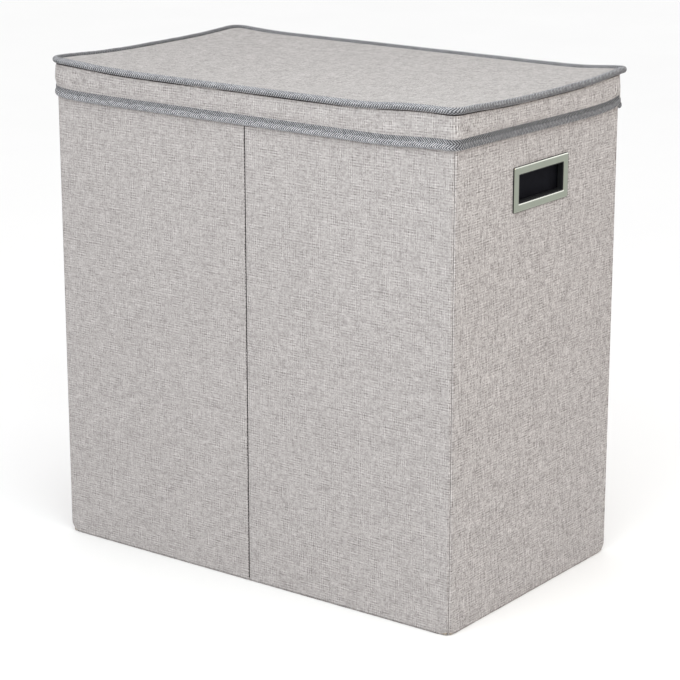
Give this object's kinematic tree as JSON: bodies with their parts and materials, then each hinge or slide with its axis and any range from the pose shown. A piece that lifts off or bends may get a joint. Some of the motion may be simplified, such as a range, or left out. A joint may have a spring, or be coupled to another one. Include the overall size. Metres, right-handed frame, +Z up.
{
  "type": "laundry hamper",
  "caption": "Lidded laundry hamper: a cloth-covered board box with bins side by side, lift-out liner bags, metal hand-holds and a hinged lid with a skirt.",
  "frame": {"origin": "on the floor, under the centre of the box", "axes": "+X to the right along the length, +Y from the front to the back, +Z up"},
  "size_m": [0.608, 0.368, 0.6127],
  "materials": {
    "linen_cloth": "matte",
    "twill_tape": "matte",
    "greyboard": "matte",
    "lining_cloth": "matte",
    "satin_nickel": "satin",
    "black_plastic": "matte",
    "liner_cloth": "matte",
    "webbing": "matte"
  },
  "bodies": {
    "box": {"back_left_board": "greyboard", "back_left_cloth": "linen_cloth", "back_right_board": "greyboard", "back_right_cloth": "linen_cloth", "bottom_cloth": "linen_cloth", "divider_board": "greyboard", "front_left_board": "greyboard", "front_left_cloth": "linen_cloth", "front_right_board": "greyboard", "front_right_cloth": "linen_cloth", "hinge_strip": "linen_cloth", "hinge_strip_binding": "twill_tape", "left_end_board": "greyboard", "left_end_cloth": "linen_cloth", "left_floor_board": "lining_cloth", "left_handle_frame": "satin_nickel", "left_handle_sleeve": "black_plastic", "left_hook_tape_back": "webbing", "left_hook_tape_front": "webbing", "left_liner_bag": "liner_cloth", "left_liner_hem": "webbing", "left_liner_loop_back": "webbing", "left_liner_loop_front": "webbing", "left_lining": "lining_cloth", "left_loop_tape_back": "webbing", "left_loop_tape_front": "webbing", "right_end_board": "greyboard", "right_end_cloth": "linen_cloth", "right_floor_board": "lining_cloth", "right_handle_frame": "satin_nickel", "right_handle_sleeve": "black_plastic", "right_hook_tape_back": "webbing", "right_hook_tape_front": "webbing", "right_liner_bag": "liner_cloth", "right_liner_hem": "webbing", "right_liner_loop_back": "webbing", "right_liner_loop_front": "webbing", "right_lining": "lining_cloth", "right_loop_tape_back": "webbing", "right_loop_tape_front": "webbing", "rim_binding": "twill_tape"},
    "lid": {"lid_board": "greyboard", "lid_piping": "twill_tape", "lid_skirt_front": "linen_cloth", "lid_skirt_left": "linen_cloth", "lid_skirt_right": "linen_cloth", "lid_top_cloth": "linen_cloth", "lid_under_cloth": "lining_cloth", "skirt_binding_front": "twill_tape", "skirt_binding_left": "twill_tape", "skirt_binding_right": "twill_tape"}
  },
  "joints": [
    {"name": "lid_hinge", "type": "hinge", "parent": "box", "child": "lid", "pos_m": [0, 0.17985, 0.6085], "axis": [-1, 0, 0], "range_deg": [0, 260]}
  ]
}
